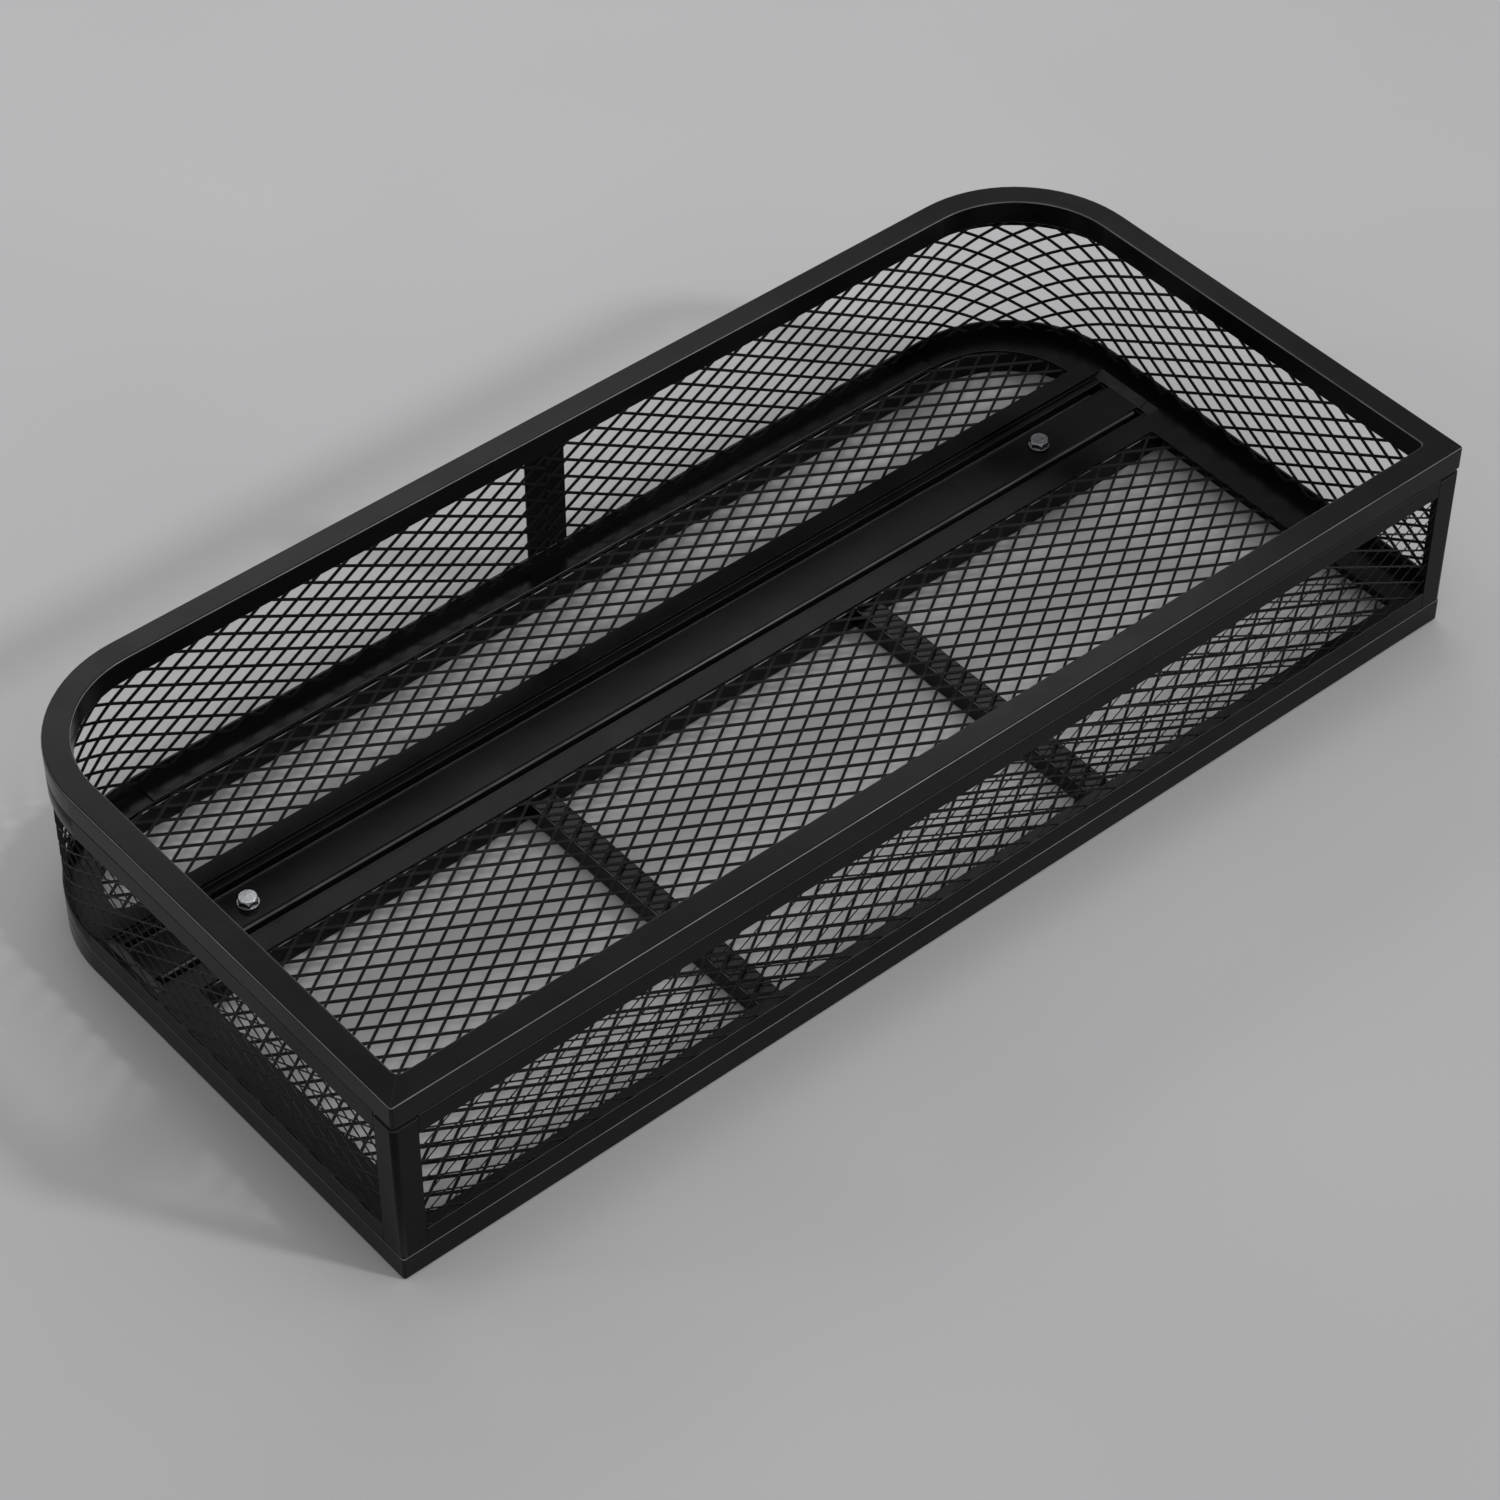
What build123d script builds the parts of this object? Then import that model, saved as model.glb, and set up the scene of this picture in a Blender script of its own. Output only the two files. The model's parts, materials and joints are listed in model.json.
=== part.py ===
from build123d import *
from collections import namedtuple
from math import ceil, cos, floor, hypot, pi, radians, sin
import os

# ---------------------------------------------------------------- driving dimensions (mm)
LENGTH = 1200.0
WIDTH = 570.0
HEIGHT = 210.0
CORNER_R = 132.0

TUBE = 25.0
TUBE_WALL = 1.5
TUBE_EDGE_R = 2.0
FRONT_CORNER_R = 3.0
INNER_CORNER_R = 6.0
SHEET = 2.0
GAP = 0.3

RAIL_HEIGHT = 21.0
RAIL_EDGE_R = 0.8
POST_LEG = 25.0
POST_BEND_R = 5.0
POST_GROOVE_HEIGHT = 4.0
POST_GROOVE_DEPTH = 1.4
MID_POST_WIDTH = 45.0

STRAND = 2.4
MESH_THICK = 1.9
MESH_RIM = 3.0
MESH_OVERLAP = 7.0
CORNER_STEPS = 8
CUTTER_INSIDE = 8.0
CUTTER_DEPTH = 12.0
MARGIN = 1.0

MESH_SEAT = 11.0
FRONT_FLANGE = 20.5
BACK_FLANGE = 22.0
END_FLANGE = 39.0
BACK_OPENING_R = 90.0
RECESS_DROP = 5.0
RECESS_RAMP = 9.5
CENTRE_Y = 112.5
BAND_OUTER = 58.5
BAND_INNER = 39.5
SLOT_OUTER = 30.5
PLATE_HALF = 23.5
PLATE_BEND_R = 4.0
PLATE_FLANGE_DEPTH = 14.0
SLOT_END_X = 577.5
PLATE_END_X = 571.0
PAN_SEAM_Y = 89.25
PAN_SEAM_GAP = 0.8
CENTRE_RAIL_WIDTH = 16.5
CENTRE_RAIL_HALF = 573.0
CROSS_MEMBER_X = 192.5
CROSS_MEMBER_HEIGHT = 22.0
EDGE_STRIP_HALF = 460.0

BOLT_X = 465.5
BOLT_R = 5.0
BOLT_HOLE_R = 5.5
BOLT_HEAD_FLATS = 17.0
BOLT_HEAD_HEIGHT = 6.4
BOLT_TIP_Z = 1.0
BOLT_TIP_CHAMFER = 0.8
HEAD_SLOPE = 2.2
HEAD_TOP_RATIO = 0.94
WASHER_R = 10.0
WASHER_THICK = 2.0
CLAMP_X = 30.0
CLAMP_THICK = 6.0
CLAMP_SIDE_GAP = 2.0
CLAMP_CORNER_R = 2.0

# Each expanded sheet: long and short pitch, where one cell centre lies, and the turn in degrees
Lattice = namedtuple("Lattice", "long short u v turn")
FLOOR_FRONT_LATTICE = Lattice(32.37, 19.97, 18.6, 2.9, 0.89)
FLOOR_BACK_LATTICE = Lattice(32.76, 19.84, 17.1, 7.4, -0.94)
WALL_FRONT_LATTICE = Lattice(33.6, 19.9, 3.5, 1.5, 0.75)
WALL_RIGHT_LATTICE = Lattice(33.52, 19.88, 4.4, 3.4, -0.93)
WALL_LEFT_LATTICE = Lattice(33.3, 19.88, 10.5, 3.3, -0.75)

# ---------------------------------------------------------------- derived levels and limits
HALF_L = LENGTH / 2
HALF_W = WIDTH / 2
BASE_TOP = TUBE
RIM_BOTTOM = HEIGHT - TUBE
INNER_X = HALF_L - SHEET
INNER_Y = HALF_W - SHEET
POST_INNER_R = POST_BEND_R - SHEET
FLOOR_MESH_Z = BASE_TOP + GAP
FLOOR_BOTTOM = FLOOR_MESH_Z + MESH_THICK + GAP
FLOOR_TOP = FLOOR_BOTTOM + SHEET
RECESS_TOP = FLOOR_TOP - RECESS_DROP
RECESS_BOTTOM = RECESS_TOP - SHEET
CORNER_CX = HALF_L - CORNER_R
CORNER_CY = HALF_W - CORNER_R
WALL_MESH_BOTTOM = BASE_TOP + RAIL_HEIGHT - MESH_OVERLAP
WALL_MESH_TOP = RIM_BOTTOM - RAIL_HEIGHT + MESH_OVERLAP
FAR = 2000.0


def box(x0, x1, y0, y1, z0, z1):
    """Axis-aligned block between two corners."""
    block = Box(x1 - x0, y1 - y0, z1 - z0)
    return Pos((x0 + x1) / 2, (y0 + y1) / 2, (z0 + z1) / 2) * block


def prism(points, z0, z1):
    """Upright prism over an XY outline."""
    return Pos(0, 0, z0) * extrude(make_face(Polyline(*points, close=True)), z1 - z0)


def outline(inset, front_r):
    """Plan of the basket moved inwards: large arcs at the back, small ones at the front."""
    x = HALF_L - inset
    y = HALF_W - inset
    back_r = CORNER_R - inset
    small = max(front_r - inset, 0.5)
    d_back = back_r * (1 - cos(pi / 4))
    d_front = small * (1 - cos(pi / 4))
    edges = [
        Line((-x + small, -y), (x - small, -y)),
        ThreePointArc((x - small, -y), (x - d_front, -y + d_front), (x, -y + small)),
        Line((x, -y + small), (x, y - back_r)),
        ThreePointArc((x, y - back_r), (x - d_back, y - d_back), (x - back_r, y)),
        Line((x - back_r, y), (-x + back_r, y)),
        ThreePointArc((-x + back_r, y), (-x + d_back, y - d_back), (-x, y - back_r)),
        Line((-x, y - back_r), (-x, -y + small)),
        ThreePointArc((-x, -y + small), (-x + d_front, -y + d_front), (-x + small, -y)),
    ]
    return make_face(edges)


def loop(inset0, inset1, z0, z1, front_r, inner_front_r):
    """Closed band between two insets of the plan."""
    outer = extrude(outline(inset0, front_r), z1 - z0)
    inner = extrude(outline(inset1, inner_front_r + inset1), z1 - z0)
    return Pos(0, 0, z0) * (outer - inner)


def tube_loop(z0):
    """Hollow square tube bent round the plan, with softened long edges."""
    solid = loop(0, TUBE, z0, z0 + TUBE, FRONT_CORNER_R, INNER_CORNER_R)
    flat_edges = solid.faces().sort_by(Axis.Z)[-1].edges() + solid.faces().sort_by(Axis.Z)[0].edges()
    solid = fillet(flat_edges, TUBE_EDGE_R)
    hollow = loop(
        TUBE_WALL,
        TUBE - TUBE_WALL,
        z0 + TUBE_WALL,
        z0 + TUBE - TUBE_WALL,
        FRONT_CORNER_R,
        INNER_CORNER_R,
    )
    return solid - hollow


def base_notches():
    """Shallow cuts in the base tube where the sunken centre strip is let in at each end."""
    y_half = BAND_INNER + SHEET + GAP
    x0 = HALF_L - TUBE - MARGIN
    x1 = SLOT_END_X + RECESS_RAMP
    cut = box(x0, x1, CENTRE_Y - y_half, CENTRE_Y + y_half, RECESS_BOTTOM - GAP, BASE_TOP + MARGIN)
    return [cut, mirror(cut, Plane.YZ)]


def split_mitred(ring, z0, z1):
    """Front tube with mitred ends, and the U-shaped rest."""
    front_zone = prism(
        [
            (-HALF_L - MARGIN, -HALF_W - MARGIN),
            (HALF_L + MARGIN, -HALF_W - MARGIN),
            (HALF_L - TUBE - MARGIN, -HALF_W + TUBE + MARGIN),
            (-HALF_L + TUBE + MARGIN, -HALF_W + TUBE + MARGIN),
        ],
        z0 - MARGIN,
        z1 + MARGIN,
    )
    return ring & front_zone, ring - front_zone


def rails(z0):
    """Flat wall rail: U-shaped strip round the back, and the straight strip at the front."""
    ring = loop(0, SHEET, z0 + GAP / 2, z0 + RAIL_HEIGHT, POST_BEND_R, 0)
    post_y = -HALF_W + POST_LEG
    post_x = HALF_L - POST_LEG
    u_strip = ring - box(-FAR, FAR, -FAR, post_y + GAP, 0, HEIGHT)
    front_strip = ring & box(-post_x + GAP, post_x - GAP, -FAR, post_y, 0, HEIGHT)
    return u_strip, front_strip


def corner_post(side):
    """Upright bent angle at a front corner, with a groove round its top under the rim."""
    bottom = BASE_TOP + GAP / 2
    top = RIM_BOTTOM - GAP / 2
    ring = loop(0, SHEET, bottom, top, POST_BEND_R, POST_INNER_R)
    groove = loop(0, POST_GROOVE_DEPTH, top - POST_GROOVE_HEIGHT, top, POST_BEND_R, POST_INNER_R)
    x0 = HALF_L - POST_LEG
    window = box(x0, FAR, -FAR, -HALF_W + POST_LEG, 0, HEIGHT)
    if side < 0:
        window = mirror(window, Plane.YZ)
    return (ring - groove) & window


# ---------------------------------------------------------------- expanded mesh
def clip(points, zone):
    """Part of a convex polygon that lies inside a convex, anticlockwise zone."""
    result = points
    for i in range(len(zone)):
        ax, ay = zone[i]
        bx, by = zone[(i + 1) % len(zone)]
        kept = []
        for j in range(len(result)):
            px, py = result[j]
            qx, qy = result[(j + 1) % len(result)]
            p_side = (bx - ax) * (py - ay) - (by - ay) * (px - ax)
            q_side = (bx - ax) * (qy - ay) - (by - ay) * (qx - ax)
            if p_side >= 0:
                kept.append((px, py))
            if p_side * q_side < 0:
                t = p_side / (p_side - q_side)
                kept.append((px + t * (qx - px), py + t * (qy - py)))
        result = kept
        if len(result) < 3:
            return []
    return result


def area(points):
    """Signed area of a polygon."""
    total = 0.0
    for i in range(len(points)):
        ax, ay = points[i]
        bx, by = points[(i + 1) % len(points)]
        total += ax * by - bx * ay
    return total / 2


def without_short_sides(points, shortest=0.05):
    """Polygon without repeated or nearly repeated corners."""
    kept = []
    for p in points:
        if not kept or hypot(p[0] - kept[-1][0], p[1] - kept[-1][1]) > shortest:
            kept.append(p)
    if len(kept) > 1 and hypot(kept[0][0] - kept[-1][0], kept[0][1] - kept[-1][1]) <= shortest:
        kept.pop()
    return kept


def turned(points, degrees):
    """Points turned anticlockwise about the origin."""
    c = cos(radians(degrees))
    s = sin(radians(degrees))
    return [(c * u - s * v, s * u + c * v) for u, v in points]


def diamonds(zone, lattice, smallest=6.0):
    """Openings of the expanded mesh inside a convex zone, long diagonal along the lattice's rows."""
    strand_u = STRAND * hypot(lattice.long, lattice.short) / lattice.short / 2
    half_u = lattice.long / 2 - strand_u
    half_v = half_u * lattice.short / lattice.long
    row_step = lattice.short / 2
    level_zone = turned(zone, -lattice.turn)
    us = [p[0] for p in level_zone]
    vs = [p[1] for p in level_zone]
    holes = []
    first_row = floor((min(vs) - lattice.v) / row_step) - 1
    last_row = ceil((max(vs) - lattice.v) / row_step) + 1
    for row in range(first_row, last_row + 1):
        v = lattice.v + row * row_step
        shift = lattice.u + (lattice.long / 2 if row % 2 else 0)
        first = floor((min(us) - shift) / lattice.long) - 1
        last = ceil((max(us) - shift) / lattice.long) + 1
        for column in range(first, last + 1):
            u = shift + column * lattice.long
            cell = [(u - half_u, v), (u, v - half_v), (u + half_u, v), (u, v + half_v)]
            hole = without_short_sides(clip(cell, level_zone))
            if len(hole) >= 3 and area(hole) > smallest:
                holes.append(turned(hole, lattice.turn))
    return holes


def flat_mesh(plane, border, zone, lattice):
    """Flat panel: a plate with one opening per diamond, thickness along the plane's normal."""
    holes = diamonds(zone, lattice)
    outer = Wire.make_polygon([Vector(u, v, 0) for u, v in border], close=True)
    inner = [Wire.make_polygon([Vector(u, v, 0) for u, v in hole], close=True) for hole in holes]
    panel = extrude(Face(outer, inner), MESH_THICK)
    return plane * panel


def rectangle(u0, u1, v0, v1):
    """Corners of a rectangle, anticlockwise."""
    return [(u0, v0), (u1, v0), (u1, v1), (u0, v1)]


def floor_mesh_back():
    """Back floor panel with its two back corners rounded."""
    x = INNER_X - MESH_SEAT
    y0 = CENTRE_Y + BAND_INNER + SHEET + GAP
    radius = CORNER_R - SHEET - MESH_SEAT
    steps = CORNER_STEPS

    def shape(shrink):
        r = radius - shrink
        points = [(-x + shrink, y0 + shrink), (x - shrink, y0 + shrink)]
        for side in (1, -1):
            for i in range(steps + 1):
                turn = i if side > 0 else steps - i
                angle = radians(90 * turn / steps)
                px = side * (CORNER_CX + r * cos(angle))
                py = CORNER_CY + r * sin(angle)
                if py > y0 + shrink:
                    points.append((px, py))
        return points

    return flat_mesh(Plane((0, 0, FLOOR_MESH_Z)), shape(0), shape(MESH_RIM), FLOOR_BACK_LATTICE)


def floor_mesh_front():
    """Front floor panel, a plain rectangle."""
    x = INNER_X - MESH_SEAT
    y0 = -INNER_Y + MESH_SEAT
    y1 = CENTRE_Y - BAND_INNER - SHEET - GAP
    zone = rectangle(-x + MESH_RIM, x - MESH_RIM, y0 + MESH_RIM, y1 - MESH_RIM)
    return flat_mesh(Plane((0, 0, FLOOR_MESH_Z)), rectangle(-x, x, y0, y1), zone, FLOOR_FRONT_LATTICE)


def wall_mesh_front():
    """Front wall panel, flat against the inside of the front rails, ending where the posts bend."""
    x = INNER_X - POST_INNER_R
    plane = Plane(origin=(0, -INNER_Y + MESH_THICK, 0), x_dir=(1, 0, 0), z_dir=(0, -1, 0))
    z0 = WALL_MESH_BOTTOM
    z1 = WALL_MESH_TOP
    zone = rectangle(-x + MESH_RIM, x - MESH_RIM, z0 + MESH_RIM, z1 - MESH_RIM)
    return flat_mesh(plane, rectangle(-x, x, z0, z1), zone, WALL_FRONT_LATTICE)


def wall_mesh_right(lattice):
    """Side panel: along half the back, round the corner, and along the end, in one sheet.

    The unrolled coordinate runs from the middle of the back (0) to the front corner.
    """
    outer_r = CORNER_R - SHEET
    back_end = CORNER_CX
    arc_length = outer_r * pi / 2
    side_start = back_end + arc_length
    total = side_start + CORNER_CY + INNER_Y - POST_INNER_R
    z0 = WALL_MESH_BOTTOM
    z1 = WALL_MESH_TOP
    half_gap = GAP / 2
    full = rectangle(half_gap + MESH_RIM, total - MESH_RIM, z0 + MESH_RIM, z1 - MESH_RIM)

    def flat_part(u0, u1, plane):
        zone = clip(full, rectangle(u0, u1, z0, z1))
        border = rectangle(u0, u1, z0, z1)
        holes = diamonds(zone, lattice)
        plate = make_face(Polyline(*border, close=True))
        tools = Sketch() + [make_face(Polyline(*hole, close=True)) for hole in holes]
        return plane * extrude(plate - tools, MESH_THICK)

    back_plane = Plane(origin=(0, INNER_Y - MESH_THICK, 0), x_dir=(1, 0, 0), z_dir=(0, -1, 0))
    side_origin = (INNER_X - MESH_THICK, CORNER_CY + side_start, 0)
    side_plane = Plane(origin=side_origin, x_dir=(0, -1, 0), z_dir=(-1, 0, 0))
    back_plane = back_plane.offset(-MESH_THICK)
    side_plane = side_plane.offset(-MESH_THICK)
    back_part = flat_part(half_gap, back_end, back_plane)
    side_part = flat_part(side_start, total, side_plane)

    shell = Cylinder(outer_r, z1 - z0) - Cylinder(outer_r - MESH_THICK, z1 - z0)
    shell = Pos(CORNER_CX, CORNER_CY, (z0 + z1) / 2) * shell
    shell = shell & box(CORNER_CX, FAR, CORNER_CY, FAR, 0, HEIGHT)
    zone = rectangle(back_end - MARGIN, side_start + MARGIN, z0 + MESH_RIM, z1 - MESH_RIM)
    cutters = []
    for hole in diamonds(zone, lattice):
        middle = sum(p[0] for p in hole) / len(hole)
        angle = pi / 2 - (middle - back_end) / outer_r
        plane = Plane(
            origin=(CORNER_CX, CORNER_CY, 0),
            x_dir=(sin(angle), -cos(angle), 0),
            z_dir=(cos(angle), sin(angle), 0),
        )
        local = [(outer_r * sin((u - middle) / outer_r), v) for u, v in hole]
        cutter = extrude(make_face(Polyline(*local, close=True)), CUTTER_DEPTH)
        tool = plane.offset(outer_r - CUTTER_INSIDE) * cutter
        cutters.append(tool)
    shell = shell - cutters
    return back_part + shell + side_part


# ---------------------------------------------------------------- floor pans
def recess_sheet(y0, y1):
    """Sheet of the sunken centre strip between two y limits, with a ramp at each end."""
    x0 = SLOT_END_X
    x1 = SLOT_END_X + RECESS_RAMP
    top = [(-x1, FLOOR_TOP), (-x0, RECESS_TOP), (x0, RECESS_TOP), (x1, FLOOR_TOP)]
    under = [(x1, FLOOR_BOTTOM), (x0, RECESS_BOTTOM), (-x0, RECESS_BOTTOM), (-x1, FLOOR_BOTTOM)]
    face = make_face(Polyline(*(top + under), close=True))
    plane = Plane(origin=(0, y0, 0), x_dir=(1, 0, 0), z_dir=(0, -1, 0))
    return plane * extrude(face, -(y1 - y0))


def recess_wall(y0, y1):
    """Upright side of the sunken strip, tapering away along the end ramps."""
    x0 = SLOT_END_X
    x1 = SLOT_END_X + RECESS_RAMP
    points = [(-x1, FLOOR_TOP), (-x1, FLOOR_BOTTOM), (-x0, RECESS_BOTTOM)]
    points += [(x0, RECESS_BOTTOM), (x1, FLOOR_BOTTOM), (x1, FLOOR_TOP)]
    face = make_face(Polyline(*points, close=True))
    plane = Plane(origin=(0, y0, 0), x_dir=(1, 0, 0), z_dir=(0, -1, 0))
    return plane * extrude(face, -(y1 - y0))


def pan_blank(y0, y1):
    """Flat sheet with the plan of the basket's inside, between two y limits."""
    blank = extrude(outline(SHEET + GAP, POST_BEND_R), SHEET)
    return (Pos(0, 0, FLOOR_BOTTOM) * blank) & box(-FAR, FAR, y0, y1, 0, HEIGHT)


def bolt_holes():
    """Clearance holes through the centre strip."""
    hole = Cylinder(BOLT_HOLE_R, HEIGHT)
    return [Pos(side * BOLT_X, CENTRE_Y, 0) * hole for side in (-1, 1)]


def floor_pan_back():
    """Back floor pan: border, back band, sunken strip and the folded centre strip."""
    seam = PAN_SEAM_Y + PAN_SEAM_GAP / 2
    band_y = CENTRE_Y + BAND_INNER
    slot_y = CENTRE_Y + SLOT_OUTER
    flat_half = PLATE_HALF - PLATE_BEND_R
    ramp_x = SLOT_END_X + RECESS_RAMP
    x = INNER_X - END_FLANGE
    opening_y = CENTRE_Y + BAND_OUTER
    opening = box(-x, x, opening_y - MARGIN, INNER_Y - BACK_FLANGE, 0, HEIGHT)
    back_corners = opening.edges().filter_by(Axis.Z).group_by(Axis.Y)[-1]
    opening = fillet(back_corners, BACK_OPENING_R) & box(-FAR, FAR, opening_y, FAR, 0, HEIGHT)
    pan = pan_blank(seam, FAR) - opening
    pan = pan - box(-ramp_x, ramp_x, seam - MARGIN, band_y, 0, HEIGHT)
    pan = pan + recess_sheet(seam, band_y) + recess_wall(band_y, band_y + SHEET)
    pan = pan - box(-SLOT_END_X, SLOT_END_X, CENTRE_Y + flat_half, slot_y, 0, HEIGHT)
    pan = pan - box(-SLOT_END_X, SLOT_END_X, seam - MARGIN, CENTRE_Y - flat_half, 0, HEIGHT)
    pan = pan + folded_strip()
    return pan - bolt_holes()


def folded_strip():
    """Centre strip with both long edges folded down."""
    half = PLATE_HALF
    bottom = RECESS_TOP - PLATE_FLANGE_DEPTH
    block = box(-PLATE_END_X, PLATE_END_X, CENTRE_Y - half, CENTRE_Y + half, bottom, RECESS_TOP)
    long_edges = block.edges().filter_by(Axis.X).group_by(Axis.Z)[-1]
    block = fillet(long_edges, PLATE_BEND_R)
    inner_half = half - SHEET
    inside = box(-FAR, FAR, CENTRE_Y - inner_half, CENTRE_Y + inner_half, 0, RECESS_BOTTOM)
    inner_edges = inside.edges().filter_by(Axis.X).group_by(Axis.Z)[-1]
    inside = fillet(inner_edges, PLATE_BEND_R - SHEET)
    return block - inside


def floor_pan_front():
    """Front floor pan: border, front band and its sunken lip."""
    seam = PAN_SEAM_Y - PAN_SEAM_GAP / 2
    band_y = CENTRE_Y - BAND_INNER
    slot_y = CENTRE_Y - SLOT_OUTER
    ramp_x = SLOT_END_X + RECESS_RAMP
    x = INNER_X - END_FLANGE
    opening = box(-x, x, -INNER_Y + FRONT_FLANGE, CENTRE_Y - BAND_OUTER, 0, HEIGHT)
    opening = fillet(opening.edges().filter_by(Axis.Z), FRONT_CORNER_R)
    pan = pan_blank(-FAR, seam) - opening
    pan = pan - box(-ramp_x, ramp_x, band_y, FAR, 0, HEIGHT)
    pan = pan + recess_sheet(band_y, seam) + recess_wall(band_y - SHEET, band_y)
    return pan - box(-SLOT_END_X, SLOT_END_X, slot_y, FAR, 0, HEIGHT)


def edge_strip_back():
    """Cover strip on the back border of the floor, between the rounded corners."""
    y0 = INNER_Y - BACK_FLANGE
    y1 = INNER_Y - GAP
    strip = box(-EDGE_STRIP_HALF, EDGE_STRIP_HALF, y0, y1, FLOOR_TOP, FLOOR_TOP + SHEET)
    front_top = strip.edges().filter_by(Axis.X).group_by(Axis.Z)[-1].sort_by(Axis.Y)[0]
    return fillet(front_top, RAIL_EDGE_R)


def rect_tube_x(y0, y1, height):
    """Rectangular tube lying along X between the end tubes of the base."""
    x = CENTRE_RAIL_HALF
    outer = box(-x, x, y0, y1, 0, height)
    outer = fillet(outer.edges().filter_by(Axis.X), TUBE_EDGE_R)
    t = TUBE_WALL
    return outer - box(-FAR, FAR, y0 + t, y1 - t, t, height - t)


def cross_member(side):
    """Square tube from the front base tube back to the front centre rail."""
    x = side * CROSS_MEMBER_X
    y0 = -HALF_W + TUBE + GAP
    y1 = CENTRE_Y - BAND_OUTER - GAP
    outer = box(x - TUBE / 2, x + TUBE / 2, y0, y1, 0, CROSS_MEMBER_HEIGHT)
    outer = fillet(outer.edges().filter_by(Axis.Y), TUBE_EDGE_R)
    t = TUBE_WALL
    half = TUBE / 2 - t
    return outer - box(x - half, x + half, -FAR, FAR, t, CROSS_MEMBER_HEIGHT - t)


def mid_post():
    """Flat upright strip at the middle of the back wall."""
    half = MID_POST_WIDTH / 2
    z0 = BASE_TOP + RAIL_HEIGHT + GAP
    z1 = RIM_BOTTOM - RAIL_HEIGHT - GAP
    return box(-half, half, INNER_Y, HALF_W, z0, z1)


# ---------------------------------------------------------------- bolts and clamps
def hex_bolt(side):
    """Hexagon bolt with a chamfered head and a plain shank."""
    z_seat = RECESS_TOP + GAP + WASHER_THICK
    shank_end = BOLT_TIP_Z
    corner_r = BOLT_HEAD_FLATS / 2 / cos(pi / 6)
    head = extrude(RegularPolygon(corner_r, 6), BOLT_HEAD_HEIGHT)
    slope = Cone(corner_r + HEAD_SLOPE, BOLT_HEAD_FLATS / 2 * HEAD_TOP_RATIO, BOLT_HEAD_HEIGHT)
    head = head & (Pos(0, 0, BOLT_HEAD_HEIGHT / 2) * slope)
    shank = Pos(0, 0, (shank_end - z_seat) / 2) * Cylinder(BOLT_R, z_seat - shank_end)
    tip = shank.edges().sort_by(Axis.Z)[0]
    shank = chamfer(tip, BOLT_TIP_CHAMFER)
    return Pos(side * BOLT_X, CENTRE_Y, z_seat) * (head + shank)


def flat_washer(side):
    """Flat washer under the bolt's head."""
    ring = Cylinder(WASHER_R, WASHER_THICK) - Cylinder(BOLT_R, WASHER_THICK)
    return Pos(side * BOLT_X, CENTRE_Y, RECESS_TOP + GAP + WASHER_THICK / 2) * ring


def clamp_plate(side):
    """Threaded plate held from turning by the folds of the centre strip."""
    width = 2 * (PLATE_HALF - SHEET - CLAMP_SIDE_GAP)
    plate = Box(CLAMP_X, width, CLAMP_THICK)
    plate = fillet(plate.edges().filter_by(Axis.Z), CLAMP_CORNER_R)
    plate = plate - Cylinder(BOLT_R + GAP, CLAMP_THICK)
    z = RECESS_BOTTOM - GAP - CLAMP_THICK / 2
    return Pos(side * BOLT_X, CENTRE_Y, z) * plate


def build():
    """All nodes of the basket by name."""
    nodes = {}
    base_front, base_u = split_mitred(tube_loop(0), 0, TUBE)
    rim_front, rim_u = split_mitred(tube_loop(RIM_BOTTOM), RIM_BOTTOM, HEIGHT)
    lower_u, lower_front = rails(BASE_TOP)
    upper_u, upper_front = rails(RIM_BOTTOM - RAIL_HEIGHT - GAP)
    nodes["base_tube_u"] = base_u - base_notches()
    nodes["base_tube_front"] = base_front
    nodes["rim_tube_u"] = rim_u
    nodes["rim_tube_front"] = rim_front
    nodes["lower_rail_u"] = lower_u
    nodes["lower_rail_front"] = lower_front
    nodes["upper_rail_u"] = upper_u
    nodes["upper_rail_front"] = upper_front
    nodes["corner_post_left"] = corner_post(-1)
    nodes["corner_post_right"] = corner_post(1)
    nodes["mid_post_back"] = mid_post()
    nodes["floor_pan_back"] = floor_pan_back()
    nodes["floor_pan_front"] = floor_pan_front()
    nodes["edge_strip_back"] = edge_strip_back()
    nodes["centre_rail_back"] = rect_tube_x(
        CENTRE_Y + BAND_OUTER - CENTRE_RAIL_WIDTH, CENTRE_Y + BAND_OUTER, BASE_TOP
    )
    nodes["centre_rail_front"] = rect_tube_x(
        CENTRE_Y - BAND_OUTER, CENTRE_Y - BAND_OUTER + CENTRE_RAIL_WIDTH, BASE_TOP
    )
    nodes["cross_member_left"] = cross_member(-1)
    nodes["cross_member_right"] = cross_member(1)
    nodes["floor_mesh_back"] = floor_mesh_back()
    nodes["floor_mesh_front"] = floor_mesh_front()
    nodes["wall_mesh_front"] = wall_mesh_front()
    nodes["wall_mesh_right"] = wall_mesh_right(WALL_RIGHT_LATTICE)
    nodes["wall_mesh_left"] = mirror(wall_mesh_right(WALL_LEFT_LATTICE), Plane.YZ)
    for side, word in ((-1, "left"), (1, "right")):
        nodes["hex_bolt_" + word] = hex_bolt(side)
        nodes["flat_washer_" + word] = flat_washer(side)
        nodes["clamp_plate_" + word] = clamp_plate(side)
    return nodes


os.makedirs("parts", exist_ok=True)
for name, shape in build().items():
    shape.label = name
    export_step(shape, "parts/" + name + ".step")
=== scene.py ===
import json
from collections import namedtuple
from math import ceil, cos, floor, hypot, pi, radians, sin

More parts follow.
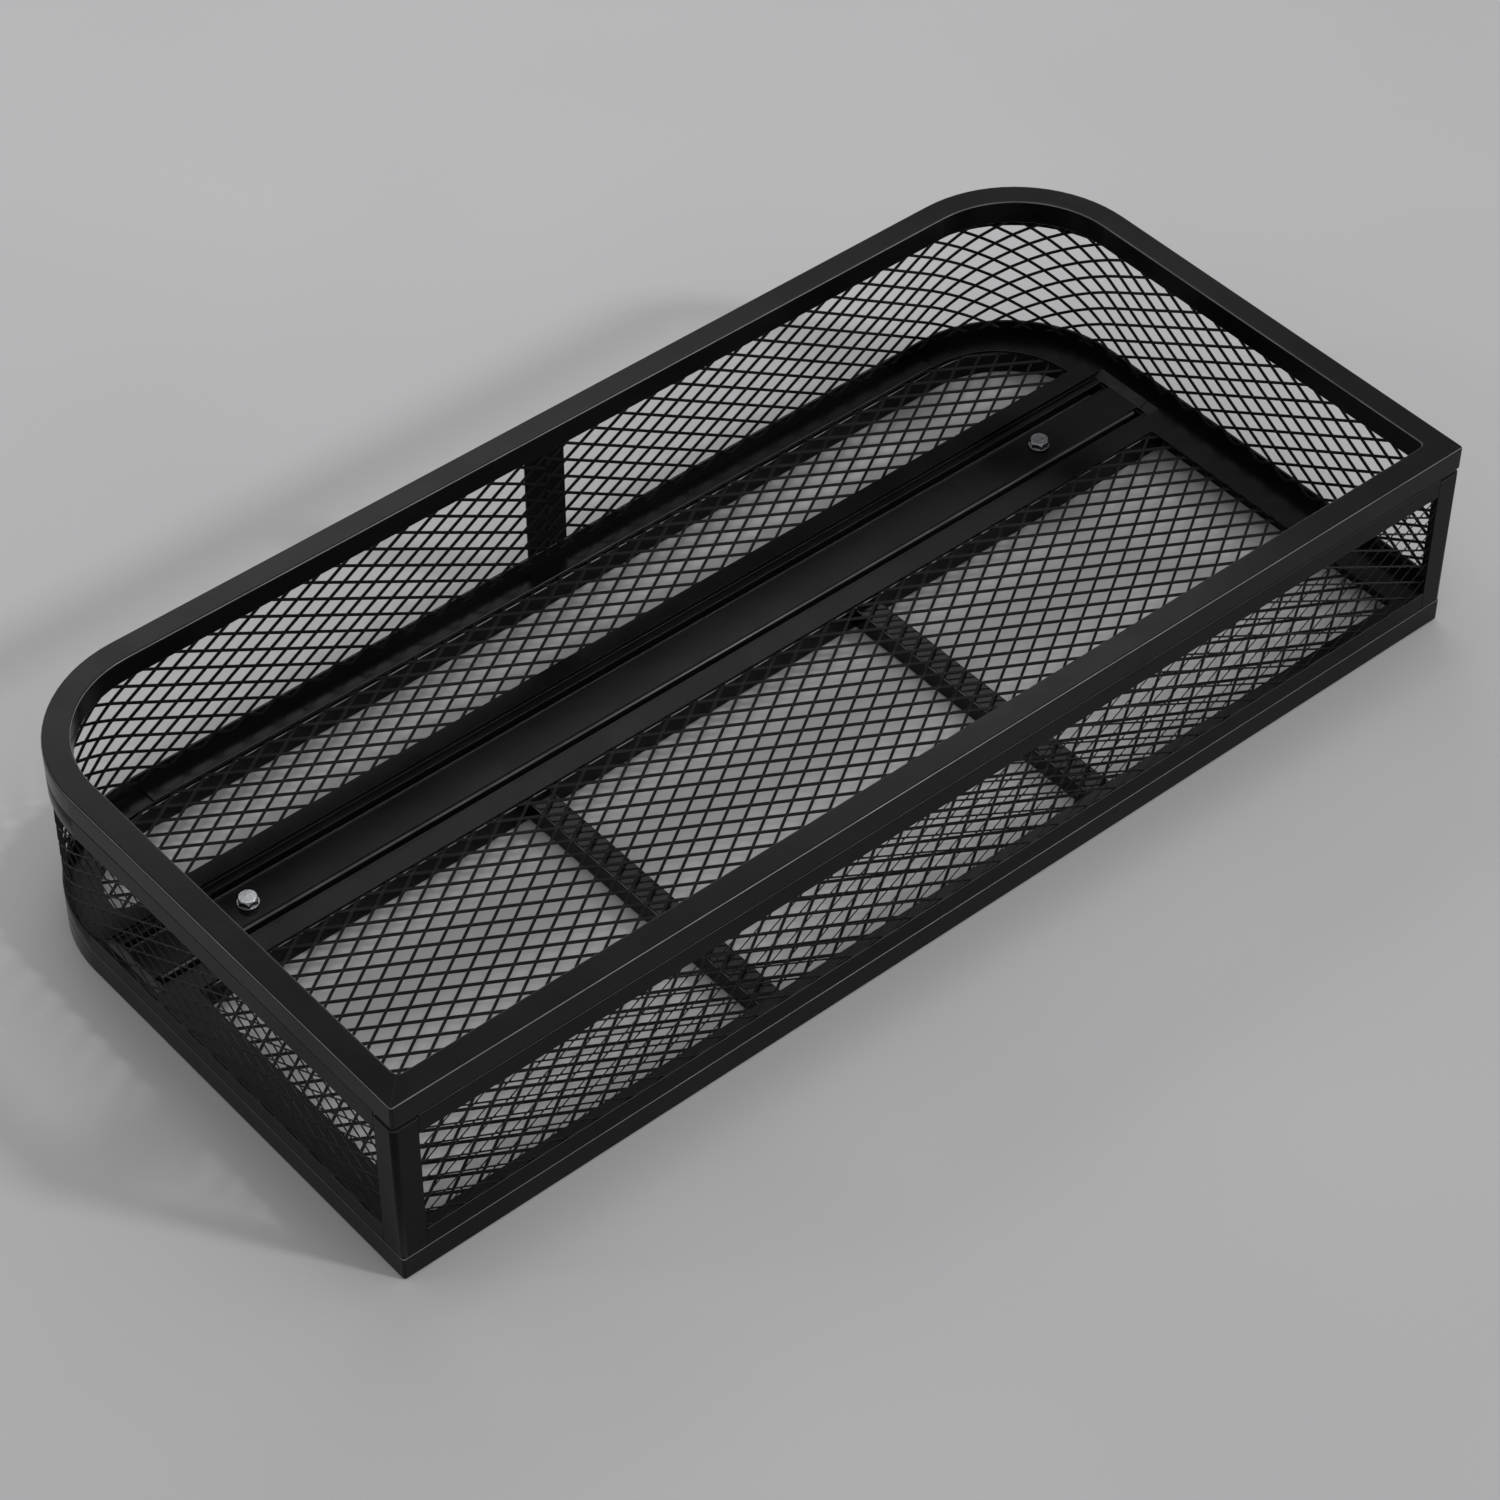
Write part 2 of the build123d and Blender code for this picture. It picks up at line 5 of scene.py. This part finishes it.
import bmesh
import bpy
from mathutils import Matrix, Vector


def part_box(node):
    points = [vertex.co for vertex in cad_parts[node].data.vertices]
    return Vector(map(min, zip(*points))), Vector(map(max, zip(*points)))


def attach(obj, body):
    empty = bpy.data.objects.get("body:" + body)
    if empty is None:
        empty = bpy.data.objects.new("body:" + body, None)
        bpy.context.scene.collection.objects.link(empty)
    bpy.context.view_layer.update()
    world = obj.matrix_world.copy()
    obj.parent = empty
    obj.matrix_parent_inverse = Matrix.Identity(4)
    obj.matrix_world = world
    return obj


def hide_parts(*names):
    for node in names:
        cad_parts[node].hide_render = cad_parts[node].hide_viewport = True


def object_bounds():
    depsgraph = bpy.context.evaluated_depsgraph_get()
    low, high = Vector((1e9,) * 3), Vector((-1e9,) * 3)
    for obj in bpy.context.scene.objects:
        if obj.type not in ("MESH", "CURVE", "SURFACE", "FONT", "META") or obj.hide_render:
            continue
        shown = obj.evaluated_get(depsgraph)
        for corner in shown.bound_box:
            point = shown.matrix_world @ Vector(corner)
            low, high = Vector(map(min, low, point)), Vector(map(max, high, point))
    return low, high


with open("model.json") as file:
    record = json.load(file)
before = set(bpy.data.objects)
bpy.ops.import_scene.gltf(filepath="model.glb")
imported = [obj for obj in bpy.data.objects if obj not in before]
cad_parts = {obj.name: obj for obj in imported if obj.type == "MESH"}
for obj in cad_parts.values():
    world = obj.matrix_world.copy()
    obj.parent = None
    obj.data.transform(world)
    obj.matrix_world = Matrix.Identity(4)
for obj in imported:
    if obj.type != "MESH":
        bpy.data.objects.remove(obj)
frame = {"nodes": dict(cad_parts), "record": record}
CAD_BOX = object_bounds()

# ---------------------------------------------------------------- sizes (m)
MM = 0.001
LO, HI = CAD_BOX
HALF_L = HI.x
HALF_W = HI.y

# The part's own sheet thickness, back corner radius and half gap between the two side panels
SHEET = 2.0 * MM
CORNER_R = 132.0 * MM
MIDDLE_GAP = 0.15 * MM
CORNER_CX = HALF_L - CORNER_R
CORNER_CY = HALF_W - CORNER_R
CORNER_STEPS = 8

# Expanded mesh
STRAND = 2.4 * MM
STRAND_THICK = 1.1 * MM
STRAND_TILT = 0.55 * MM
STRAND_EDGE = 0.22 * MM
KNUCKLE = 0.14
RING_POINTS = 12
MERGE_DISTANCE = 1e-6
CUT_TOLERANCE = 1e-7

# Each expanded sheet: long and short pitch, where one cell centre lies (mm), and the turn in degrees
Lattice = namedtuple("Lattice", "long short u v turn")
LATTICES_MM = {
    "floor_mesh_front": Lattice(32.37, 19.97, 18.6, 2.9, 0.89),
    "floor_mesh_back": Lattice(32.76, 19.84, 17.1, 7.4, -0.94),
    "wall_mesh_front": Lattice(33.6, 19.9, 3.5, 1.5, 0.75),
    "wall_mesh_right": Lattice(33.52, 19.88, 4.4, 3.4, -0.93),
    "wall_mesh_left": Lattice(33.3, 19.88, 10.5, 3.3, -0.75),
}


def lattice_of(node_name):
    """The node's lattice in metres."""
    sheet = LATTICES_MM[node_name]
    return Lattice(sheet.long * MM, sheet.short * MM, sheet.u * MM, sheet.v * MM, sheet.turn)


# ---------------------------------------------------------------- materials
class Nodes:
    """Short way to add and link shader nodes in one material."""

    def __init__(self, name):
        self.material = bpy.data.materials.new(name)
        self.material.use_nodes = True
        self.tree = self.material.node_tree
        self.shader = self.tree.nodes["Principled BSDF"]
        coordinates = self.tree.nodes.new("ShaderNodeTexCoord")
        self.place = coordinates.outputs["Object"]

    def add(self, kind, inputs=None, **settings):
        node = self.tree.nodes.new(kind)
        for key, value in settings.items():
            setattr(node, key, value)
        for key, value in (inputs or {}).items():
            if isinstance(value, bpy.types.NodeSocket):
                self.tree.links.new(value, node.inputs[key])
            else:
                node.inputs[key].default_value = value
        return node

    def noise(self, scale, detail=3.0, roughness=0.55):
        inputs = {"Vector": self.place, "Scale": scale, "Detail": detail, "Roughness": roughness}
        return self.add("ShaderNodeTexNoise", inputs).outputs["Fac"]

    def spread(self, value, low, high, start=0.35, end=0.65):
        inputs = {"Value": value, "From Min": start, "From Max": end, "To Min": low, "To Max": high}
        return self.add("ShaderNodeMapRange", inputs).outputs["Result"]

    def multiply(self, a, b):
        return self.add("ShaderNodeMath", {0: a, 1: b}, operation="MULTIPLY").outputs[0]

    def mix(self, factor, a, b):
        node = self.add("ShaderNodeMix", {"Factor": factor}, data_type="RGBA")
        for socket, value in ((node.inputs[6], a), (node.inputs[7], b)):
            if isinstance(value, bpy.types.NodeSocket):
                self.tree.links.new(value, socket)
            else:
                socket.default_value = (*value, 1.0)
        return node.outputs[2]

    def edges(self, radius):
        """1 on sharp edges, 0 on flats, from how far a rounded normal leans from the true one."""
        rounded = self.add("ShaderNodeBevel", {"Radius": radius}, samples=4).outputs["Normal"]
        true = self.add("ShaderNodeNewGeometry").outputs["Normal"]
        inputs = {0: rounded, 1: true}
        dot = self.add("ShaderNodeVectorMath", inputs, operation="DOT_PRODUCT").outputs["Value"]
        return self.spread(dot, 1.0, 0.0, start=0.75, end=0.99)

    def painted_bend_highlight(self):
        """Painted highlight mask: 1 half way round a bend between a level face and an upright one, 0 on
        both faces.

        Bends that face down get a quarter of that, as they catch less light.
        """
        normal = self.add("ShaderNodeNewGeometry").outputs["Normal"]
        upward = self.add("ShaderNodeSeparateXYZ", {0: normal}).outputs["Z"]
        squared = self.multiply(upward, upward)
        rest = self.add("ShaderNodeMath", {0: 1.0, 1: squared}, operation="SUBTRACT").outputs[0]
        bend = self.spread(self.multiply(squared, rest), 0.0, 1.0, start=0.14, end=0.24)
        return self.multiply(bend, self.spread(upward, 0.25, 1.0, start=-0.3, end=0.3))

    def bump(self, height, strength, distance):
        inputs = {"Height": height, "Strength": strength, "Distance": distance}
        return self.add("ShaderNodeBump", inputs).outputs["Normal"]

    def set(self, **sockets):
        for key, value in sockets.items():
            socket = self.shader.inputs[key.replace("_", " ")]
            if isinstance(value, bpy.types.NodeSocket):
                self.tree.links.new(value, socket)
            else:
                socket.default_value = value
        return self.material


# Light grey of rubbed edges (real wear), also used for the painted highlight on the bends
RUBBED_COAT_AND_HIGHLIGHT = (0.22, 0.22, 0.224)


def powder_coat(name, dark, light, smooth, rough, shine, wear, bend_highlight_strength, peel=0.12):
    """Semi-gloss black powder coat: orange peel, faint dust, thin rubbed edges, and bends painted lighter
    grey as a highlight.
    """
    n = Nodes(name)
    cloud = n.spread(n.noise(9.0, 5.0), 0.0, 1.0)
    colour = n.mix(cloud, (dark, dark, dark * 1.04), (light, light, light * 1.03))
    rub = n.multiply(n.multiply(n.edges(0.8 * MM), n.spread(n.noise(55.0, 4.0), 0.0, 1.0)), wear)
    # Painted highlight: bends between level and upright faces, mostly those facing up, are painted lighter
    # grey
    bend_highlight = n.multiply(n.multiply(n.painted_bend_highlight(), n.spread(n.noise(31.0, 3.0), 0.6, 1.0)), bend_highlight_strength)
    wear_and_highlight = n.add("ShaderNodeMath", {0: rub, 1: bend_highlight}, operation="MAXIMUM").outputs[0]
    colour = n.mix(wear_and_highlight, colour, RUBBED_COAT_AND_HIGHLIGHT)
    gloss = n.spread(n.noise(23.0, 4.0), smooth, rough)
    skin = n.noise(620.0, 2.0)
    return n.set(
        Base_Color=colour,
        Specular_IOR_Level=shine,
        Roughness=gloss,
        Normal=n.bump(skin, peel, 0.4 * MM),
    )


def plated(name, colour, smooth, rough, scratch):
    """Bright plating with fine scratches and slightly dull edges."""
    n = Nodes(name)
    stretched = n.add("ShaderNodeMapping", {"Vector": n.place, "Scale": (160.0, 900.0, 700.0)})
    grain_inputs = {"Vector": stretched.outputs["Vector"], "Scale": 1.0, "Detail": 4.0}
    grain = n.add("ShaderNodeTexNoise", grain_inputs).outputs["Fac"]
    dull = n.multiply(n.edges(0.6 * MM), 0.5)
    darker = [c * 0.86 for c in colour]
    dark_edge = [c * 0.6 for c in colour]
    patches = n.mix(n.spread(n.noise(140.0), 0.0, 1.0), colour, darker)
    tone = n.mix(dull, patches, dark_edge)
    return n.set(
        Base_Color=tone,
        Metallic=1.0,
        Roughness=n.spread(grain, smooth, rough),
        Normal=n.bump(grain, scratch, 0.15 * MM),
    )


# Each coat's bend strength sets how strongly its bends are painted lighter as a highlight
tube_coat = powder_coat(
    "tube_coat", dark=0.0030, light=0.0055, smooth=0.20, rough=0.26, shine=0.12, wear=0.12, bend_highlight_strength=0.65
)
sheet_coat = powder_coat(
    "sheet_coat", dark=0.0028, light=0.0050, smooth=0.19, rough=0.25, shine=0.08, wear=0.12, bend_highlight_strength=0.45
)
mesh_coat = powder_coat(
    "mesh_coat",
    dark=0.0030,
    light=0.0060,
    smooth=0.20,
    rough=0.30,
    shine=0.12,
    wear=0.10,
    bend_highlight_strength=0.03,
    peel=0.08,
)
bolt_plating = plated("bolt_plating", (0.34, 0.345, 0.36), smooth=0.16, rough=0.28, scratch=0.12)
washer_plating = plated("washer_plating", (0.32, 0.325, 0.34), smooth=0.20, rough=0.34, scratch=0.18)
clamp_steel = plated("clamp_steel", (0.5, 0.5, 0.51), smooth=0.3, rough=0.45, scratch=0.3)
FINISHES = {
    "tube_coat": tube_coat,
    "sheet_coat": sheet_coat,
    "mesh_coat": mesh_coat,
    "bolt_plating": bolt_plating,
    "washer_plating": washer_plating,
    "clamp_steel": clamp_steel,
}


# ---------------------------------------------------------------- CAD nodes: finish and soft edges
WELD_DISTANCE = 0.01 * MM
SHARP_DEGREES = 40.0


def soften(obj, width, segments=2):
    """Joins the node's faces and rounds its sharp edges; the mesh itself stays as it is."""
    weld = obj.modifiers.new("weld", "WELD")
    weld.merge_threshold = WELD_DISTANCE
    bevel = obj.modifiers.new("edge", "BEVEL")
    bevel.width = width
    bevel.segments = segments
    bevel.limit_method = "ANGLE"
    bevel.angle_limit = radians(SHARP_DEGREES)
    bevel.use_clamp_overlap = True
    bevel.harden_normals = True


EDGE_WIDTHS = {
    "sheet_coat": 0.55 * MM,
    "bolt_plating": 0.4 * MM,
    "washer_plating": 0.3 * MM,
    "clamp_steel": 0.4 * MM,
}
slot_of = {s["node"]: s["material_slot"] for s in frame["record"]["subparts"]}
for node_name, node in frame["nodes"].items():
    slot_name = slot_of[node_name]
    node.data.materials.clear()
    node.data.materials.append(FINISHES[slot_name])
    if slot_name in EDGE_WIDTHS:
        soften(node, EDGE_WIDTHS[slot_name])


# ---------------------------------------------------------------- expanded mesh panels
def ring_points(u, v, scale, lattice):
    """Twelve points round a diamond, anticlockwise from its left corner."""
    half_u = lattice.long / 2 * scale
    half_v = lattice.short / 2 * scale
    corners = [(u - half_u, v), (u, v - half_v), (u + half_u, v), (u, v + half_v)]
    points = []
    for i in range(4):
        ax, ay = corners[i]
        bx, by = corners[(i + 1) % 4]
        for t in (0.0, KNUCKLE, 1.0 - KNUCKLE):
            points.append((ax + (bx - ax) * t, ay + (by - ay) * t))
    return points


def ring_leans():
    """How far each of the twelve points is lifted: up along the lower edges, down along the upper."""
    leans = []
    half = RING_POINTS // 2
    for i in range(RING_POINTS):
        if i in (0, half):
            leans.append(0.0)
        elif i < half:
            leans.append(1.0)
        else:
            leans.append(-1.0)
    return leans


def add_cell(bm, u, v, lattice):
    """Strands round one opening, out to the middle of each strand."""
    per_strand = STRAND * hypot(lattice.long, lattice.short) / (lattice.long * lattice.short)
    outer = ring_points(u, v, 1.0, lattice)
    shoulder = ring_points(u, v, 1.0 - per_strand + 2 * STRAND_EDGE / lattice.short, lattice)
    hole = ring_points(u, v, 1.0 - per_strand, lattice)
    leans = ring_leans()
    t = STRAND_THICK / 2
    e = STRAND_EDGE
    h = STRAND_TILT
    rows = []
    for points, height, lean in (
        (outer, t, 0.0),
        (shoulder, t, h),
        (hole, t - e, h),
        (hole, e - t, h),
        (shoulder, -t, h),
        (outer, -t, 0.0),
    ):
        rows.append([bm.verts.new((p[0], p[1], height + k * lean)) for p, k in zip(points, leans)])
    for a, b in zip(rows, rows[1:]):
        for i in range(RING_POINTS):
            j = (i + 1) % RING_POINTS
            bm.faces.new((a[i], a[j], b[j], b[i]))


def turned(points, degrees):
    """Points turned anticlockwise about the origin."""
    c = cos(radians(degrees))
    s = sin(radians(degrees))
    return [(c * u - s * v, s * u + c * v) for u, v in points]


def strand_panel(zone, place, replaced):
    """Expanded mesh inside a convex anticlockwise zone, laid on the object by place(u, v, w)."""
    name = "expanded_" + replaced
    lattice = lattice_of(replaced)
    row_step = lattice.short / 2
    bm = bmesh.new()
    level_zone = turned(zone, -lattice.turn)
    us = [p[0] for p in level_zone]
    vs = [p[1] for p in level_zone]
    first_row = floor((min(vs) - lattice.v) / row_step) - 1
    last_row = ceil((max(vs) - lattice.v) / row_step) + 1
    for row in range(first_row, last_row + 1):
        v = lattice.v + row * row_step
        shift = lattice.u + (lattice.long / 2 if row % 2 else 0.0)
        first = floor((min(us) - shift) / lattice.long) - 1
        last = ceil((max(us) - shift) / lattice.long) + 1
        for column in range(first, last + 1):
            add_cell(bm, shift + column * lattice.long, v, lattice)
    bmesh.ops.remove_doubles(bm, verts=bm.verts, dist=MERGE_DISTANCE)
    for vert in bm.verts:
        vert.co.xy = turned([vert.co.xy], lattice.turn)[0]
    for i in range(len(zone)):
        ax, ay = zone[i]
        bx, by = zone[(i + 1) % len(zone)]
        geometry = bm.verts[:] + bm.edges[:] + bm.faces[:]
        outward = (by - ay, ax - bx, 0.0)
        bmesh.ops.bisect_plane(
            bm,
            geom=geometry,
            plane_co=(ax, ay, 0.0),
            plane_no=outward,
            clear_outer=True,
            dist=CUT_TOLERANCE,
        )
        ends = [edge for edge in bm.edges if edge.is_boundary]
        bmesh.ops.holes_fill(bm, edges=ends, sides=0)
    bmesh.ops.recalc_face_normals(bm, faces=bm.faces)
    for vert in bm.verts:
        vert.co = place(*vert.co)
    bmesh.ops.recalc_face_normals(bm, faces=bm.faces)
    mesh = bpy.data.meshes.new(name)
    bm.to_mesh(mesh)
    bm.free()
    obj = bpy.data.objects.new(name, mesh)
    bpy.context.scene.collection.objects.link(obj)
    mesh.materials.append(mesh_coat)
    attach(obj, "basket")
    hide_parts(replaced)
    return obj


def rectangle(u0, u1, v0, v1):
    """Corners of a rectangle, anticlockwise."""
    return [(u0, v0), (u1, v0), (u1, v1), (u0, v1)]


def floor_panels():
    """Both floor panels, lying flat under the pans."""
    for word in ("front", "back"):
        node = "floor_mesh_" + word
        low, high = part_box(node)
        level = (low.z + high.z) / 2

        def place(u, v, w, level=level):
            return Vector((u, v, level + w))

        if word == "front":
            zone = rectangle(low.x, high.x, low.y, high.y)
        else:
            radius = high.y - CORNER_CY
            zone = [(low.x, low.y), (high.x, low.y)]
            for side in (1, -1):
                for i in range(CORNER_STEPS + 1):
                    step = i if side > 0 else CORNER_STEPS - i
                    turn = radians(90 * step / CORNER_STEPS)
                    x = side * (CORNER_CX + radius * cos(turn))
                    y = CORNER_CY + radius * sin(turn)
                    if y > low.y:
                        zone.append((x, y))
        strand_panel(zone, place, node)


def wall_panels():
    """Front panel, and the two side panels that wrap the back corners."""
    low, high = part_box("wall_mesh_front")
    half = (high.y - low.y) / 2
    middle_y = (low.y + high.y) / 2

    def place_front(u, v, w):
        return Vector((u, middle_y - w, v))

    zone = rectangle(low.x, high.x, low.z, high.z)
    strand_panel(zone, place_front, "wall_mesh_front")

    outer_r = CORNER_R - SHEET
    middle_r = outer_r - half
    back_end = CORNER_CX
    side_start = back_end + outer_r * pi / 2

    for side, word in ((1, "right"), (-1, "left")):
        node = "wall_mesh_" + word
        low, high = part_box(node)
        total = side_start + CORNER_CY - low.y

        def place(u, v, w, side=side):
            if u < back_end:
                x, y = u, CORNER_CY + middle_r + w
            elif u > side_start:
                x, y = CORNER_CX + middle_r + w, CORNER_CY - (u - side_start)
            else:
                angle = pi / 2 - (u - back_end) / outer_r
                x = CORNER_CX + (middle_r + w) * cos(angle)
                y = CORNER_CY + (middle_r + w) * sin(angle)
            return Vector((side * x, y, v))

        zone = rectangle(MIDDLE_GAP, total, low.z, high.z)
        strand_panel(zone, place, node)


floor_panels()
wall_panels()


# ---------------------------------------------------------------- floor, light and camera
FLOOR_SIZE = 12.0
FLOOR_DARK = (0.47, 0.47, 0.48)
FLOOR_LIGHT = (0.49, 0.49, 0.50)
WORLD_STRENGTH = 0.55
EDGE_LIGHT_WIDTH = 6.0
FRONT_EDGES_TOWARDS = (0.463, -0.705, 0.537)
LEFT_EDGES_TOWARDS = (-0.705, 0.537, 0.463)
CAMERA_PLACE = (-1.77107, -2.06957, 2.70504)
CAMERA_DEGREES = (45.16299, -0.20075, -40.44046)
CAMERA_LENS = 102.395
SENSOR_WIDTH = 36.0
CAMERA_REACH = 50.0


def stage_floor():
    """Plain pale floor under the basket."""
    bm = bmesh.new()
    bmesh.ops.create_grid(bm, x_segments=8, y_segments=8, size=FLOOR_SIZE)
    mesh = bpy.data.meshes.new("stage_floor")
    bm.to_mesh(mesh)
    bm.free()
    obj = bpy.data.objects.new("stage_floor", mesh)
    bpy.context.scene.collection.objects.link(obj)
    obj.location.z = LO.z - 0.5 * MM
    n = Nodes("stage_floor")
    tone = n.mix(n.spread(n.noise(1.5, 2.0), 0.0, 1.0), FLOOR_DARK, FLOOR_LIGHT)
    mesh.materials.append(n.set(Base_Color=tone, Roughness=0.85))


def area_light(name, place, target, size_x, size_y, power):
    """Rectangular soft light aimed at a point."""
    data = bpy.data.lights.new(name, "AREA")
    data.shape = "RECTANGLE"
    data.size = size_x
    data.size_y = size_y
    data.energy = power
    obj = bpy.data.objects.new(name, data)
    bpy.context.scene.collection.objects.link(obj)
    obj.location = place
    obj.rotation_euler = (Vector(target) - Vector(place)).to_track_quat("-Z", "Y").to_euler()
    return obj


def sun_light(name, towards, strength, width):
    """Distant soft light in one direction, with its apparent width in degrees."""
    data = bpy.data.lights.new(name, "SUN")
    data.energy = strength
    data.angle = radians(width)
    obj = bpy.data.objects.new(name, data)
    bpy.context.scene.collection.objects.link(obj)
    obj.rotation_euler = Vector(towards).to_track_quat("Z", "Y").to_euler()
    return obj


def lights():
    """Even pale surroundings, two distant lights for the edges, and two soft panels."""
    scene = bpy.context.scene
    world = bpy.data.worlds.new("studio")
    scene.world = world
    world.use_nodes = True
    background = world.node_tree.nodes["Background"]
    background.inputs["Color"].default_value = (1.0, 1.0, 1.0, 1.0)
    background.inputs["Strength"].default_value = WORLD_STRENGTH
    sun_light("front_edges", FRONT_EDGES_TOWARDS, strength=1.1, width=EDGE_LIGHT_WIDTH)
    sun_light("left_edges", LEFT_EDGES_TOWARDS, strength=0.12, width=EDGE_LIGHT_WIDTH)
    area_light(
        "sky_card",
        place=(0.7, 1.5, 1.7),
        target=(-0.2, 0.27, 0.2),
        size_x=2.2,
        size_y=0.6,
        power=9.0,
    )
    area_light(
        "top",
        place=(0.2, -1.0, 3.6),
        target=(0.0, -0.2, 0.0),
        size_x=2.0,
        size_y=2.0,
        power=8.0,
    )
    scene.view_settings.view_transform = "Standard"


def main_camera():
    """Camera looking down on the front left corner."""
    data = bpy.data.cameras.new("camera")
    data.sensor_width = SENSOR_WIDTH
    data.lens = CAMERA_LENS
    data.clip_end = CAMERA_REACH
    camera = bpy.data.objects.new("camera", data)
    bpy.context.scene.collection.objects.link(camera)
    camera.location = CAMERA_PLACE
    camera.rotation_euler = [radians(angle) for angle in CAMERA_DEGREES]
    bpy.context.scene.camera = camera


stage_floor()
lights()
main_camera()
